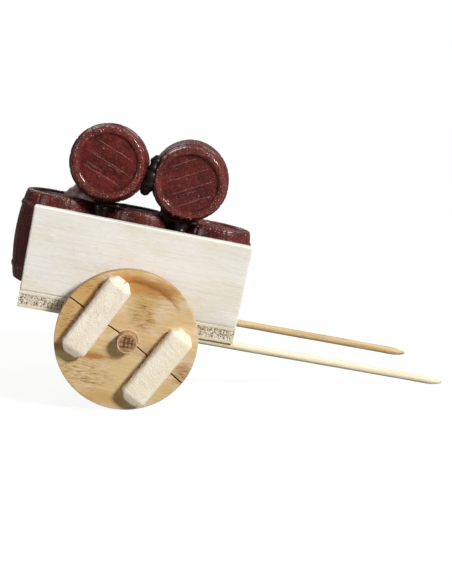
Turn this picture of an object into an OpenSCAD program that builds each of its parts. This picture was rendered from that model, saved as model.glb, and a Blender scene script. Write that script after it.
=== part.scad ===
// Two-wheeled wooden handcart loaded with five kegs, standing on its wheels and its shaft tips.
// Everything is drawn in the bed frame (x forward, y across, z up from the floor's top face)
// and then leaned forward by stand() until the wheels and the tips share the ground at z = 0.

/* [Bed] */
// Length of the floor and of the side boards
bed_l = 54; // [46:0.5:70]
// Height of a side board above the floor
side_h = 20.9; // [12:0.1:24]
// Thickness of a side board
side_t = 4; // [2:0.1:6]
// Gap between a standing keg's belly and a side board
load_gap = 2.4; // [0.5:0.1:6]
// Thickness of each face ply of the floor
face_ply_t = 0.8; // [0.4:0.1:1.2]
// Thickness of the core ply of the floor
core_ply_t = 2.5; // [1:0.1:4]

/* [Wheels] */
// Diameter of a wheel disc
wheel_d = 34.6; // [29:0.2:45]
// Thickness of a wheel disc
wheel_t = 3.2; // [2.5:0.1:6]
// Gap between a wheel and the side of the bed
wheel_gap = 3.2; // [0.6:0.1:5]
// Width of the seam cut across a disc
seam_w = 0.7; // [0.3:0.1:1.2]
// Depth of the seam cut across a disc
seam_depth = 0.5; // [0.2:0.1:1]
// Lean of the seam below the bed's line
seam_angle = 28; // [0:1:90]

/* [Axle] */
// Diameter of the axle dowel
axle_d = 5; // [3:0.1:7]
// How far the axle stands out of a wheel's face
axle_out = 2.6; // [1:0.1:5]
// Radial clearance between the axle and a wheel
running_gap = 0.06; // [0.02:0.01:0.1]
// Depth of the flat that seats the axle under the floor
axle_flat = 0.2; // [0.15:0.05:0.8]
// How far the axle sits ahead of the middle of the bed
axle_ahead = 0.3; // [-3:0.1:3]
// Width of the glue bead beside the axle
bead_w = 1.2; // [0.6:0.1:1.6]

/* [Battens] */
// Width of a batten
batten_w = 6.6; // [3:0.1:7.6]
// Thickness of a batten
batten_t = 3; // [1:0.1:5]
// Distance of a batten's middle from the wheel's centre
batten_offset = 9.6; // [7:0.1:10.5]
// Room between a batten's end and the rim, before its corners are cut
batten_margin = 2.3; // [0.5:0.1:3]
// Chamfer on a batten's four corners
batten_corner = 1.7; // [0.5:0.1:2.2]
// Bevel round a batten's outer face
batten_bevel = 0.6; // [0.2:0.1:1]

/* [Shafts] */
// Diameter of a shaft
shaft_d = 2.2; // [1.5:0.1:3.5]
// Length of a shaft
shaft_l = 80; // [60:1:100]
// Length of the pointed end
tip_l = 4; // [2:0.1:8]
// Diameter left at the very end
tip_d = 0.8; // [0.4:0.1:1.2]
// Distance of a shaft from the edge of the bed
shaft_inset = 0.6; // [0.2:0.1:4]
// Gap between the axle and a shaft's rear end
shaft_gap = 1.9; // [0.5:0.1:5]
// Depth of the flat that seats a shaft under the floor
shaft_flat = 0.3; // [0.1:0.05:0.5]
// Width of the glue bead beside a shaft
shaft_bead_w = 0.5; // [0.3:0.1:1]

/* [Kegs] */
// Height of a keg
keg_h = 23.3; // [18:0.1:30]
// Diameter at the belly
belly_d = 20.2; // [15:0.1:26]
// Diameter over the staves at each end
end_d = 17.9; // [14:0.1:19.4]
// Diameter of the sunk head
head_d = 13.8; // [9:0.1:15]
// Depth of the sunk head
head_sunk = 0.6; // [0.3:0.1:2]
// Width of a hoop
hoop_w = 1.3; // [0.8:0.1:2.5]
// How far a hoop stands out of the staves
hoop_out = 0.3; // [0.1:0.05:0.5]
// Distance of a hoop from the nearer end
hoop_set = 3; // [2:0.1:6]
// Gap between the bellies of neighbouring standing kegs
keg_gap = 0.2; // [0.1:0.1:3]
// Gap between the bellies of the two lying kegs
top_gap = 0.7; // [0.4:0.1:4]
// How far the load sits behind the middle of the bed
load_back = 1; // [0:0.1:4]

/* [Glue] */
// Diameter of the drop that hangs between the lying kegs
drop_d = 3.2; // [2:0.1:5]
// Diameter of the smear behind the rear lying keg
smear_d = 6; // [3:0.1:8]
// Diameter of the lump under the front lying keg
lump_d = 6.4; // [3:0.1:9]

/* [Hidden] */
$fn = 96;
eps = 0.01;

cream = [0.93, 0.9, 0.82];
core_brown = [0.68, 0.56, 0.42];
oak = [0.8, 0.66, 0.45];
end_grain = [0.55, 0.4, 0.28];
birch = [0.93, 0.87, 0.72];
tan_wood = [0.8, 0.66, 0.44];
maroon = [0.36, 0.13, 0.12];
varnish = [0.12, 0.09, 0.09];
clear_glue = [0.82, 0.78, 0.68];
grey_glue = [0.45, 0.41, 0.42];

floor_t = 2 * face_ply_t + core_ply_t;
bed_w = belly_d + 2 * load_gap + 2 * side_t;
axle_x = bed_l / 2 + axle_ahead;
axle_r = axle_d / 2;
axle_z = -floor_t - axle_r + axle_flat;
axle_l = bed_w + 2 * (wheel_gap + wheel_t + axle_out);
wheel_r = wheel_d / 2;
wheel_in = bed_w / 2 + wheel_gap;
shaft_r = shaft_d / 2;
shaft_x = axle_x + axle_r + shaft_gap;
shaft_y = bed_w / 2 - shaft_inset - shaft_r;
shaft_z = -floor_t - shaft_r + shaft_flat;
flat_over = 0.3;
bead_end = 2;

// Lean: the first point of a shaft's end that would meet the ground stops it.
tip_points = [[shaft_x + shaft_l - tip_l, shaft_z - shaft_r], [shaft_x + shaft_l, shaft_z - tip_d / 2]];
function lean_at(p) =
    let (dx = p[0] - axle_x, dz = p[1] - axle_z) atan2(dz, dx) + asin(wheel_r / norm([dx, dz]));
lean = min([for (p = tip_points) lean_at(p)]);
function leaned_x(x, z) = x * cos(lean) + z * sin(lean);
lift = wheel_r + axle_x * sin(lean) - axle_z * cos(lean);

// Kegs: half of the outline, from the middle of the belly to the end.
keg_pitch = belly_d + keg_gap;
load_x = bed_l / 2 - load_back;
keg_xs = [for (i = [-1:1]) load_x + i * keg_pitch];
belly_r = belly_d / 2;
end_r = end_d / 2;
head_r = head_d / 2;
half_h = keg_h / 2;
rim_round = 0.9;
belly_steps = 8;
rim_steps = 4;
stave_h = half_h - rim_round;
// A shallow head meets the rim's roll before the roll turns straight down.
rim_sweep = acos(max(0, 1 - head_sunk / rim_round));
function stave_r(s) = belly_r - (belly_r - end_r) * pow(s / stave_h, 2);
hoop_lo = half_h - hoop_set - hoop_w;
hoop_hi = half_h - hoop_set;
half_outline = concat(
    [for (i = [0:belly_steps]) let (s = hoop_lo * i / belly_steps) [stave_r(s), s]],
    [[stave_r(hoop_lo) + hoop_out, hoop_lo + hoop_out], [stave_r(hoop_hi) + hoop_out, hoop_hi - hoop_out]],
    [[stave_r(hoop_hi), hoop_hi]],
    [for (i = [0:rim_steps]) let (a = 90 * i / rim_steps)
        [end_r - rim_round + rim_round * cos(a), stave_h + rim_round * sin(a)]],
    [for (i = [0:rim_steps]) let (a = rim_sweep * i / rim_steps)
        [head_r + rim_round * (sin(rim_sweep) - sin(a)), stave_h + rim_round * cos(a)]],
    [if (head_sunk > rim_round) [head_r, half_h - head_sunk]]
);
plank_w = 3.45;
plank_cut = 0.3;

// The lower head has three scored lines, and the upper one has four, set to one side.
lower_lines = [-1, 0, 1];
upper_lines = [-1.3, -0.35, 0.6, 1.55];

// Lying kegs rest on the rounded rims of the standing ones, whichever rim each meets first.
rest_gap = 0.15;
rim_centre = end_r - rim_round;
function rest_z(x) = rest_gap + keg_h - rim_round + max([
    for (k = keg_xs, side = [-1, 1]) let (d = x - k - side * rim_centre)
        sqrt(max(0, pow(belly_r + rim_round, 2) - d * d))
]);

// The middle of the axis of each lying keg, then its tilt, turn and spin.
top_ahead = 0.45;
top_step = (belly_d + top_gap) / 2;
top_x = load_x + top_ahead;
top_rear = [top_x - top_step, 0, rest_z(top_x - top_step)];
top_front = [top_x + top_step, 0, rest_z(top_x + top_step)];
top_rear_turn = [-2.5, 0, -3.5];
top_front_turn = [3, 0, -5.5];
top_rear_spin = 111;
top_front_spin = 119;

// The whole stands over its own middle.
rear_keg = min([for (p = half_outline, side = [-1, 1]) leaned_x(keg_xs[0] - p[0], half_h + side * p[1])]);
rear_most = min(rear_keg, leaned_x(0, -floor_t), leaned_x(axle_x, axle_z) - wheel_r);
front_most = leaned_x(shaft_x + shaft_l, shaft_z + tip_d / 2);
shift = -(rear_most + front_most) / 2;

module stand() {
    translate([shift, 0, lift]) rotate([0, lean, 0]) children();
}

module ply(z, t) {
    translate([0, -bed_w / 2, z]) cube([bed_l, bed_w, t]);
}

module floor_top_ply() {
    color(cream) ply(-face_ply_t, face_ply_t);
}

module floor_core_ply() {
    color(core_brown) ply(-face_ply_t - core_ply_t, core_ply_t);
}

module floor_bottom_ply() {
    color(cream) ply(-floor_t, face_ply_t);
}

module side_board(side) {
    color(cream) translate([0, side * (bed_w - side_t) / 2 - side_t / 2, 0]) cube([bed_l, side_t, side_h]);
}

module axle() {
    color(end_grain) difference() {
        translate([axle_x, 0, axle_z]) rotate([90, 0, 0]) cylinder(h = axle_l, d = axle_d, center = true);
        translate([axle_x - axle_d, -bed_w / 2 - flat_over, -floor_t])
            cube([2 * axle_d, bed_w + 2 * flat_over, axle_d]);
    }
}

// A straight-faced bead in the corner between a round bar and the underside of the floor.
module bead_profile(r, flat, w) {
    reach = 70;
    difference() {
        polygon([[0, 0], [r + w, 0], [r * sin(reach), -r + flat + r * cos(reach)]]);
        translate([0, -r + flat]) circle(r = r + eps);
    }
}

module axle_glue() {
    color(clear_glue) for (side = [0, 1])
        translate([axle_x, 0, -floor_t]) mirror([side, 0, 0]) rotate([90, 0, 0])
            linear_extrude(bed_w - 2 * shaft_inset, center = true) bead_profile(axle_r, axle_flat, bead_w);
}

module shaft(side) {
    translate([shaft_x, side * shaft_y, shaft_z]) difference() {
        rotate([0, 90, 0]) rotate_extrude() polygon([
            [0, 0], [shaft_r, 0], [shaft_r, shaft_l - tip_l], [tip_d / 2, shaft_l], [0, shaft_l]
        ]);
        translate([-eps, -shaft_d, shaft_r - shaft_flat])
            cube([bed_l - shaft_x + flat_over + eps, 2 * shaft_d, shaft_d]);
    }
}

module shaft_glue() {
    bead_len = bed_l - shaft_x - 2 * bead_end;
    color(clear_glue) for (side = [-1, 1])
        translate([shaft_x + bead_end, side * shaft_y, -floor_t]) mirror([0, side < 0 ? 0 : 1, 0])
            rotate([90, 0, 90]) linear_extrude(bead_len) bead_profile(shaft_r, shaft_flat, shaft_bead_w);
}

// A wheel's own frame: centre of the disc's outer face, z outward, x along the bed.
module at_wheel(side) {
    translate([axle_x, side * (wheel_in + wheel_t), axle_z])
        mirror([0, side < 0 ? 0 : 1, 0]) rotate([90, 0, 0]) rotate(-seam_angle) children();
}

module wheel(side) {
    color(oak) at_wheel(side) difference() {
        translate([0, 0, -wheel_t]) cylinder(h = wheel_t, d = wheel_d);
        translate([0, 0, -wheel_t - 1]) cylinder(h = wheel_t + 2, r = axle_r + running_gap);
        translate([-wheel_r - 1, -seam_w / 2, -seam_depth]) cube([wheel_d + 2, seam_w, seam_depth + 1]);
    }
}

function batten_half() =
    sqrt(pow(wheel_r, 2) - pow(batten_offset + batten_w / 2, 2)) + batten_corner - batten_margin;

module batten_outline(inset) {
    half_l = batten_half() - inset;
    half_w = batten_w / 2 - inset;
    cut = batten_corner - inset * tan(22.5);
    polygon([
        [-half_w + cut, -half_l], [half_w - cut, -half_l], [half_w, -half_l + cut], [half_w, half_l - cut],
        [half_w - cut, half_l], [-half_w + cut, half_l], [-half_w, half_l - cut], [-half_w, -half_l + cut]
    ]);
}

module batten(side, end, turn, slip) {
    color(cream) at_wheel(side) translate([end * batten_offset, slip, 0]) rotate(turn) hull() {
        linear_extrude(batten_t - batten_bevel) batten_outline(0);
        linear_extrude(batten_t) batten_outline(batten_bevel);
    }
}

// A keg about its own middle, with its axis on z. The planks of both heads are scored.
module keg_body() {
    difference() {
        rotate_extrude() polygon(concat(
            [for (i = [len(half_outline) - 1:-1:1]) [half_outline[i][0], -half_outline[i][1]]],
            half_outline,
            [[0, half_h - head_sunk], [0, -half_h + head_sunk]]
        ));
        for (end = [-1, 1], line = end < 0 ? lower_lines : upper_lines) {
            half_cut = sqrt(pow(head_r, 2) - pow(line * plank_w, 2)) - plank_cut;
            translate([line * plank_w, 0, end * (half_h - head_sunk)])
                cube([plank_cut, 2 * half_cut, 2 * plank_cut], center = true);
        }
    }
}

module keg_shell(grow) {
    rotate_extrude() polygon(concat(
        [[0, -half_h - grow], [end_r + hoop_out + grow, -half_h - grow]],
        [for (i = [-belly_steps:belly_steps]) let (s = stave_h * i / belly_steps)
            [stave_r(s) + hoop_out + grow, s]],
        [[end_r + hoop_out + grow, half_h + grow], [0, half_h + grow]]
    ));
}

module standing_keg(i, spin) {
    color(maroon) translate([keg_xs[i], 0, half_h]) rotate(spin) keg_body();
}

// The rear one shows its lower head to the near side, and the front one its upper head.
module lying(place, turn, end, spin) {
    translate(place) rotate(turn) rotate([end * 90, 0, 0]) rotate(spin) children();
}

module keg_top_rear() {
    color(maroon) lying(top_rear, top_rear_turn, -1, top_rear_spin) keg_body();
}

module keg_top_front() {
    color(maroon) lying(top_front, top_front_turn, 1, top_front_spin) keg_body();
}

// Space that the kegs fill, which the glue flows round.
module load_space(grow) {
    lying(top_rear, top_rear_turn, -1, 0) keg_shell(grow);
    lying(top_front, top_front_turn, 1, 0) keg_shell(grow);
    for (x = keg_xs) translate([x, 0, half_h]) keg_shell(grow);
}

// Each lump of glue is cut back by this much from the kegs it lies between.
glue_clear = 0.15;
glue_y = -belly_r * 0.55;

module glue_drop() {
    drop_z = top_rear[2] - belly_r * 0.45;
    color(varnish) difference() {
        translate([top_x, glue_y, drop_z]) union() {
            sphere(d = drop_d);
            cylinder(h = 2 * drop_d, r1 = drop_d / 2, r2 = drop_d / 3);
        }
        load_space(glue_clear);
    }
}

module glue_smear() {
    smear_x = top_rear[0] - belly_r * 0.6;
    color(grey_glue) difference() {
        translate([smear_x, glue_y, keg_h + glue_clear]) intersection() {
            sphere(d = smear_d);
            translate([-smear_d, -smear_d, 0]) cube(2 * smear_d);
        }
        load_space(glue_clear);
    }
}

module glue_lump() {
    lump_x = (keg_xs[1] + keg_xs[2]) / 2;
    color(varnish) difference() {
        translate([lump_x, glue_y, keg_h - lump_d / 2]) intersection() {
            sphere(d = lump_d * 1.4);
            cylinder(h = lump_d, d = lump_d * 0.8, center = true);
        }
        load_space(glue_clear);
    }
}

stand() floor_top_ply();
stand() floor_core_ply();
stand() floor_bottom_ply();
stand() side_board(-1);  // side_board_near
stand() side_board(1);  // side_board_far
stand() axle();
stand() axle_glue();
stand() color(birch) shaft(-1);  // shaft_near
stand() color(tan_wood) shaft(1);  // shaft_far
stand() shaft_glue();
stand() wheel(-1);  // wheel_near
stand() batten(-1, -1, 2.5, 0.4);  // wheel_near_batten_rear
stand() batten(-1, 1, 0, -0.4);  // wheel_near_batten_front
stand() wheel(1);  // wheel_far
stand() batten(1, -1, -1, 0.2);  // wheel_far_batten_rear
stand() batten(1, 1, 1.5, -0.2);  // wheel_far_batten_front
stand() standing_keg(0, 20);  // keg_rear
stand() standing_keg(1, 65);  // keg_middle
stand() standing_keg(2, -35);  // keg_front
stand() keg_top_rear();
stand() keg_top_front();
stand() glue_drop();
stand() glue_smear();
stand() glue_lump();
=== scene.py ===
import math
import random

import bmesh
import bpy
from mathutils import Matrix, Vector, noise


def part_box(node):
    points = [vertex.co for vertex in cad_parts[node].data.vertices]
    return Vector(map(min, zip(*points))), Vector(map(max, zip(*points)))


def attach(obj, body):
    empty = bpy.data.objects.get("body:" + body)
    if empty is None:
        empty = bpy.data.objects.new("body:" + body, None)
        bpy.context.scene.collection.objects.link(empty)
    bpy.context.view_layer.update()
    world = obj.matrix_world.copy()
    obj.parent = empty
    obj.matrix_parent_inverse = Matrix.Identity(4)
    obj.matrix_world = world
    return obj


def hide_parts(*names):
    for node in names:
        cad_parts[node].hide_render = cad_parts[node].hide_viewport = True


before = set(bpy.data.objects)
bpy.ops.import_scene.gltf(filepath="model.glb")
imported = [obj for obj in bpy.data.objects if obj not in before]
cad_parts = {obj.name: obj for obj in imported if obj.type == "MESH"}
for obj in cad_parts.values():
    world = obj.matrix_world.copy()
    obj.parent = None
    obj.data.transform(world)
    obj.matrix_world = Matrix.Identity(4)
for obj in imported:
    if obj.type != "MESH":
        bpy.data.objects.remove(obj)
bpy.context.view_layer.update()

mm = 0.001

# The floor's upper face gives the bed's lean: its rear edge is highest, its front edge furthest forward.
floorCorners = [corner.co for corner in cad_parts["floor_top_ply"].data.vertices]
rearEdge = max(floorCorners, key=lambda corner: corner.z)
frontEdge = max(floorCorners, key=lambda corner: corner.x)
lean = math.atan2(rearEdge.z - frontEdge.z, frontEdge.x - rearEdge.x)
leanTurn = Matrix.Rotation(lean, 4, "Y")
bedPlace = Matrix.Translation((rearEdge.x, 0, rearEdge.z)) @ leanTurn @ Matrix.Scale(mm, 4)
toBed = bedPlace.inverted()


def middleOf(node):
    low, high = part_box(node)
    return (low + high) / 2


def inBed(node):
    # A node's middle in the bed's frame: millimetres forward, across and up from the floor.
    return toBed @ middleOf(node)


def seatOf(node, turn=Matrix()):
    return Matrix.Translation(middleOf(node)) @ leanTurn @ turn @ Matrix.Scale(mm, 4)


def turned(degrees, axis):
    return Matrix.Rotation(math.radians(degrees), 4, axis)


# Shapes are lists of points and faces, so they can be joined and bent before they become meshes.

class Shape:
    def __init__(self):
        self.points = []
        self.faces = []
        self.marks = []  # one number for each point, which the finishes may read

    def add(self, points, faces, marks=None):
        first = len(self.points)
        self.points += [Vector(point) for point in points]
        self.faces += [[first + corner for corner in face] for face in faces]
        self.marks += marks or [0.0] * len(points)
        return self

    def join(self, other, place=Matrix()):
        first = len(self.points)
        self.points += [place @ point for point in other.points]
        self.faces += [[first + corner for corner in face] for face in other.faces]
        self.marks += other.marks
        return self

    def mesh(self, name):
        made = bpy.data.meshes.new(name)
        made.from_pydata(self.points, [], self.faces)
        return made


def roughen(shape, relief):
    # Moves every point along its normal by relief(point, normal), in millimetres.
    made = shape.mesh("raw")
    normals = [normal.vector.copy() for normal in made.vertex_normals]
    bpy.data.meshes.remove(made)
    shape.points = [point + normal * relief(point, normal) for point, normal in zip(shape.points, normals)]
    return shape


def faceOut(made):
    # Turns every face of a closed mesh outward.
    sheet = bmesh.new()
    sheet.from_mesh(made)
    bmesh.ops.recalc_face_normals(sheet, faces=sheet.faces)
    sheet.to_mesh(made)
    sheet.free()
    return made


def settle(shape, *modifiers):
    # Runs modifiers over a shape and gives back the finished shape.
    work = bpy.data.objects.new("work", faceOut(shape.mesh("work")))
    bpy.context.scene.collection.objects.link(work)
    for kind, settings in modifiers:
        modifier = work.modifiers.new(kind, kind)
        for key, value in settings.items():
            setattr(modifier, key, value)
    done = work.evaluated_get(bpy.context.evaluated_depsgraph_get()).to_mesh()
    result = Shape().add([v.co.copy() for v in done.vertices], [list(p.vertices) for p in done.polygons])
    bpy.data.objects.remove(work)
    return result


def gridLines(half, rounding, step):
    # Even lines across the flat, then lines that crowd into the rounded edge.
    flat = half - rounding
    count = max(1, round(2 * flat / step))
    edge = [flat + rounding * math.tan(math.radians(angle)) for angle in (15, 30, 45)]
    return [-line for line in reversed(edge)] + [flat * (2 * i / count - 1) for i in range(count + 1)] + edge


def block(size, rounding, steps):
    # A rounded block with a grid on all six faces.
    halves = [side / 2 for side in size]
    flats = [half - rounding for half in halves]
    lines = [gridLines(half, rounding, step) for half, step in zip(halves, steps)]
    last = [len(line) - 1 for line in lines]
    found, points, faces = {}, [], []

    def corner(key):
        if key not in found:
            raw = Vector(lines[axis][key[axis]] for axis in range(3))
            core = Vector(max(-flat, min(flat, value)) for value, flat in zip(raw, flats))
            found[key] = len(points)
            points.append(core + (raw - core).normalized() * rounding)
        return found[key]

    for axis in range(3):
        u, v = (axis + 1) % 3, (axis + 2) % 3
        for end in (0, last[axis]):
            for i in range(last[u]):
                for j in range(last[v]):
                    keys = []
                    for a, b in ((i, j), (i + 1, j), (i + 1, j + 1), (i, j + 1)):
                        key = [0, 0, 0]
                        key[axis], key[u], key[v] = end, a, b
                        keys.append(tuple(key))
                    face = [corner(key) for key in keys]
                    faces.append(face if end else face[::-1])
    return Shape().add(points, faces)


def turnOnLathe(outline, around):
    # Revolves (radius, height) points about z, from the low end to the high one.
    points, rings, faces = [], [], []
    for radius, height in outline:
        count = around if radius > 0 else 1
        rings.append([len(points) + i for i in range(count)])
        for i in range(count):
            angle = 2 * math.pi * i / around
            points.append((radius * math.cos(angle), radius * math.sin(angle), height))
    for low, high in zip(rings, rings[1:]):
        for i in range(around):
            j = (i + 1) % around
            if len(low) == 1:
                faces.append((low[0], high[j], high[i]))
            elif len(high) == 1:
                faces.append((low[i], low[j], high[0]))
            else:
                faces.append((low[i], low[j], high[j], high[i]))
    return Shape().add(points, faces)


def strand(path, radii, sides=5, mark=0.0):
    # A closed thin rod along a path of points.
    points, faces = [], []
    for i, (place, radius) in enumerate(zip(path, radii)):
        ahead = (path[min(i + 1, len(path) - 1)] - path[max(i - 1, 0)]).normalized()
        side = ahead.cross(Vector((0.31, 0.17, 0.94))).normalized()
        up = ahead.cross(side)
        for k in range(sides):
            angle = 2 * math.pi * k / sides
            points.append(place + (side * math.cos(angle) + up * math.sin(angle)) * radius)
    for i in range(len(path) - 1):
        for k in range(sides):
            a, b = i * sides + k, i * sides + (k + 1) % sides
            faces.append((a, b, b + sides, a + sides))
    faces.append(tuple(range(sides))[::-1])
    faces.append(tuple(range(len(points) - sides, len(points))))
    return Shape().add(points, faces, marks=[mark] * len(points))


def bead(radii, detail):
    # A small ball, stretched by its three radii.
    ball = bmesh.new()
    bmesh.ops.create_icosphere(ball, subdivisions=detail, radius=1)
    points = [Vector(a * b for a, b in zip(vert.co, radii)) for vert in ball.verts]
    faces = [[vert.index for vert in face.verts] for face in ball.faces]
    ball.free()
    return Shape().add(points, faces)


def ripple(point, size, seed=0.0):
    # Noise from about -1 to 1, with its own size along each axis.
    x, y, z = (value / length for value, length in zip(point, size))
    return noise.noise(Vector((x + seed, y - seed, z + 2 * seed)))


def makePiece(name, shape, finish, place, body, stands=(), sharpAngle=40):
    # Sets a shape into the cart on its body, in the place of the nodes it stands for.
    made = shape.mesh(name)
    spot = made.attributes.new("spot", "FLOAT_VECTOR", "POINT")
    spot.data.foreach_set("vector", [value for point in shape.points for value in point])
    mark = made.attributes.new("mark", "FLOAT", "POINT")
    mark.data.foreach_set("value", shape.marks)
    made.materials.append(finish)
    made.transform(place)
    if place.determinant() < 0:
        made.flip_normals()
    made.shade_smooth()
    made.set_sharp_from_angle(angle=math.radians(sharpAngle))
    made.update()
    piece = bpy.data.objects.new(name, made)
    bpy.context.scene.collection.objects.link(piece)
    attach(piece, body)
    if stands:
        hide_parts(*stands)


# Finishes read each point's place on its piece, so their grain stays with the wood.

flatSpot = (1, 1, 1e6)  # a size for spot that leaves its third axis out


def tone(code):
    # A colour from its hex code, as the shaders want it.
    parts = [int(code[i:i + 2], 16) / 255 for i in (0, 2, 4)]
    return tuple(p / 12.92 if p <= 0.04045 else ((p + 0.055) / 1.055) ** 2.4 for p in parts) + (1.0,)


class Finish:
    def __init__(self, name, **settings):
        self.material = bpy.data.materials.new(name)
        self.material.use_nodes = True
        self.tree = self.material.node_tree
        self.shader = self.tree.nodes["Principled BSDF"]
        self.bump = None
        self.colour = None
        for key, value in settings.items():
            self.feed(self.shader.inputs[key.replace("_", " ")], value)

    def feed(self, socket, value):
        if isinstance(value, bpy.types.NodeSocket):
            self.tree.links.new(value, socket)
        else:
            socket.default_value = value

    def put(self, kind, inputs, **options):
        made = self.tree.nodes.new("ShaderNode" + kind)
        for key, value in options.items():
            setattr(made, key, value)
        for key, value in inputs.items():
            self.feed(made.inputs[key], value)
        return made

    def read(self, name, output="Fac"):
        return self.put("Attribute", {}, attribute_name=name).outputs[output]

    def vector(self, operation, a, b=(0, 0, 0)):
        return self.put("VectorMath", {0: a, 1: b}, operation=operation).outputs[0]

    def reach(self, place):
        return self.put("VectorMath", {0: place}, operation="LENGTH").outputs["Value"]

    def spot(self, size=(1, 1, 1), seed=0.0, turn=(0, 0, 0)):
        # The place on the piece in millimetres, shifted by the seed, turned, and squeezed to units of size.
        place = self.put("Mapping", {
            "Vector": self.read("spot", "Vector"),
            "Location": (seed * 7.3, seed * 3.1, seed * 5.7),
            "Rotation": [math.radians(angle) for angle in turn],
        })
        return self.vector("MULTIPLY", place.outputs[0], [1 / length for length in size])

    def cloud(self, size, seed, detail=3.0, rough=0.55, warp=0.0, turn=(0, 0, 0)):
        return self.put("TexNoise", {
            "Vector": self.spot(size, seed, turn),
            "Scale": 1.0, "Detail": detail, "Roughness": rough, "Distortion": warp,
        }).outputs["Fac"]

    def cells(self, size, seed):
        return self.put("TexVoronoi", {"Vector": self.spot(size, seed), "Scale": 1.0}).outputs["Distance"]

    def fade(self, value, low, high, top=1.0, base=0.0):
        # base below low, top above high, and a soft change between them.
        return self.put("MapRange", {
            "Value": value, "From Min": low, "From Max": high, "To Min": base, "To Max": top,
        }, interpolation_type="SMOOTHSTEP").outputs[0]

    def blot(self, middle, radii, seed, turn=(0, 0, 0), grain=(2.8, 0.8, 3)):
        # 1 inside an uneven oval on the piece's face, 0 outside it.
        away = self.vector("SUBTRACT", self.spot(turn=turn), (*middle, 0))
        away = self.reach(self.vector("MULTIPLY", away, (1 / radii[0], 1 / radii[1], 0)))
        edge = self.times(self.cloud(grain, seed, 4, 0.65, 0, turn), 1.6)
        return self.fade(self.plus(away, edge), 2.0, 1.1)

    def sums(self, operation, a, b=0.0, c=0.0):
        return self.put("Math", {0: a, 1: b, 2: c}, operation=operation).outputs[0]

    def times(self, a, b):
        return self.sums("MULTIPLY", a, b)

    def plus(self, a, b):
        return self.sums("ADD", a, b)

    def paint(self, mask, below, above):
        return self.put("Mix", {0: mask, 6: below, 7: above}, data_type="RGBA").outputs[2]

    def start(self, mask, below, above):
        # The two tones that everything else is laid over.
        self.colour = self.paint(mask, tone(below), tone(above))

    def tint(self, mask, code):
        # Lays one more tone over the colour, as far as the mask lets it through.
        self.colour = self.paint(mask, self.colour, tone(code))

    def press(self, height, depth):
        # Adds a layer of relief; depth is in millimetres.
        inputs = {"Height": height, "Distance": depth * mm, "Strength": 1.0}
        if self.bump:
            inputs["Normal"] = self.bump
        self.bump = self.put("Bump", inputs).outputs[0]

    def done(self, roughness=None):
        self.feed(self.shader.inputs["Base Color"], self.colour)
        if roughness is not None:
            self.feed(self.shader.inputs["Roughness"], roughness)
        if self.bump:
            self.feed(self.shader.inputs["Normal"], self.bump)
        return self.material


def boardWood(name, seed, pale="f0ece4", warm="ebe4d4"):
    # Pale planed board: soft bands, fine lines along x, short dashes, a warmer stain, open end grain, and a
    # painted highlight with rubbing wear on marked edges.
    f = Finish(name, Specular_IOR_Level=0.25)
    stain = f.cloud((17, 9, 8), seed, 2)
    bands = f.cloud((26, 4, 0.9), seed + 1, 4, 0.6)
    lines = f.cloud((9, 1.2, 0.17), seed + 2, 4, 0.65)
    dashes = f.cloud((1.6, 0.5, 0.13), seed + 3, 2)
    lights = f.cloud((1.9, 0.5, 0.16), seed + 4, 2)
    f.start(f.fade(stain, 0.38, 0.66), pale, warm)
    f.tint(f.fade(bands, 0.45, 0.72, 0.3), "d3cbb9")
    f.tint(f.fade(lines, 0.5, 0.8, 0.38), "d3cbb9")
    f.tint(f.fade(dashes, 0.6, 0.74, 0.4), "b9ab92")
    f.tint(f.fade(lights, 0.58, 0.72, 0.6), "fdfbf6")
    # Marks of 0.4 and up are paled toward white: on the side boards this is a painted highlight along the
    # planed edges, with their rubbing wear.
    mark = f.read("mark")
    f.tint(f.fade(mark, 0.1, 0.4, 0.75), "fffcf4")
    ends = f.fade(mark, 0.5, 1.0)
    pores = f.cells((0.5, 0.34, 0.24), seed)
    f.tint(f.times(ends, 0.6), "dccfb2")
    f.tint(f.times(ends, f.fade(pores, 0.32, 0.16, 0.7)), "8f7a58")
    f.press(lines, 0.05)
    f.press(dashes, 0.05)
    f.press(f.cloud((0.12, 0.12, 0.12), seed, 2), 0.015)
    return f.done(f.fade(lines, 0.3, 0.7, 0.72, 0.58))


def coreWood(name, seed):
    # The middle ply shows its end grain: brown open vessels in tan wood, in upright flecks.
    f = Finish(name, Specular_IOR_Level=0.2)
    fleck = f.cells((0.5, 0.5, 0.62), seed)
    blotch = f.cloud((0.9, 0.9, 0.7), seed + 1, 4, 0.7)
    fine = f.cloud((0.34, 0.4, 0.42), seed + 2, 2, 0.7)
    f.start(f.fade(blotch, 0.38, 0.6), "f6efe0", "cbb896")
    f.tint(f.fade(fleck, 0.42, 0.24, 0.9), "634c36")
    f.tint(f.fade(fine, 0.54, 0.62, 0.9), "46331f")
    f.press(fleck, 0.12)
    f.press(fine, -0.06)
    return f.done(0.8)


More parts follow.
